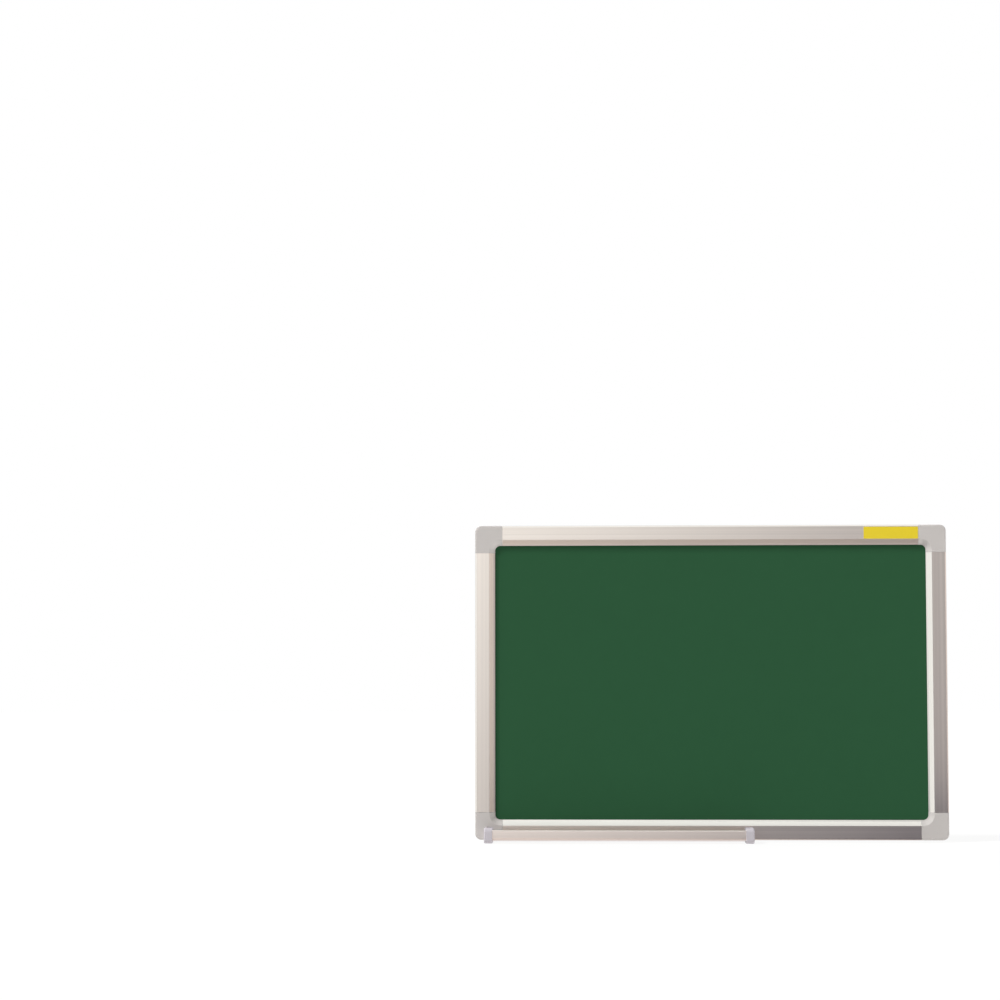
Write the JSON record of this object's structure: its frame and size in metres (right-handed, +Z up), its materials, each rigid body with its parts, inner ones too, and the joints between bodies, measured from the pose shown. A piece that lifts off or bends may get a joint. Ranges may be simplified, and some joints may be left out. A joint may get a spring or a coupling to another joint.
{
  "type": "framed chalkboard",
  "caption": "Wall chalkboard with a green steel writing face, aluminium frame, plastic corners and a chalk tray that slides along the lower rail.",
  "frame": {"origin": "middle of the board's back, in the wall plane", "axes": "+X to the board's right as its user sees it, -Y out of the wall towards the user, +Z up"},
  "size_m": [0.6, 0.0552, 0.4026],
  "materials": {
    "frame_aluminium": "satin anodised extrusion with fine lengthwise lines",
    "tray_aluminium": "satin anodised extrusion",
    "corner_plastic": "light grey moulding, fine satin texture",
    "cap_plastic": "cool light grey moulding",
    "chalk_enamel": "matt green chalk enamel",
    "fibreboard": "plain soft fibreboard core",
    "galvanised_steel": "galvanised sheet with a faint spangle",
    "zinc_steel": "bright zinc plated",
    "label_film": "plain yellow sticker"
  },
  "bodies": {
    "board": {"top_rail": "frame_aluminium", "bottom_rail": "frame_aluminium", "left_rail": "frame_aluminium", "right_rail": "frame_aluminium", "corner_top_left": "corner_plastic", "corner_top_right": "corner_plastic", "corner_bottom_left": "corner_plastic", "corner_bottom_right": "corner_plastic", "screw_bottom_rail_left": "zinc_steel", "screw_bottom_rail_right": "zinc_steel", "screw_left_rail_top": "zinc_steel", "screw_left_rail_bottom": "zinc_steel", "screw_top_rail_right": "zinc_steel", "screw_top_rail_left": "zinc_steel", "screw_right_rail_bottom": "zinc_steel", "screw_right_rail_top": "zinc_steel", "writing_sheet": "chalk_enamel", "core_board": "fibreboard", "backing_sheet": "galvanised_steel", "label": "label_film"},
    "chalk_tray": {"tray": "tray_aluminium", "tray_cap_left": "cap_plastic", "tray_cap_right": "cap_plastic"}
  },
  "joints": [
    {"name": "tray_slide", "type": "slide", "parent": "board", "child": "chalk_tray", "axis": [1, 0, 0], "range_m": [0, 0.2344]}
  ]
}
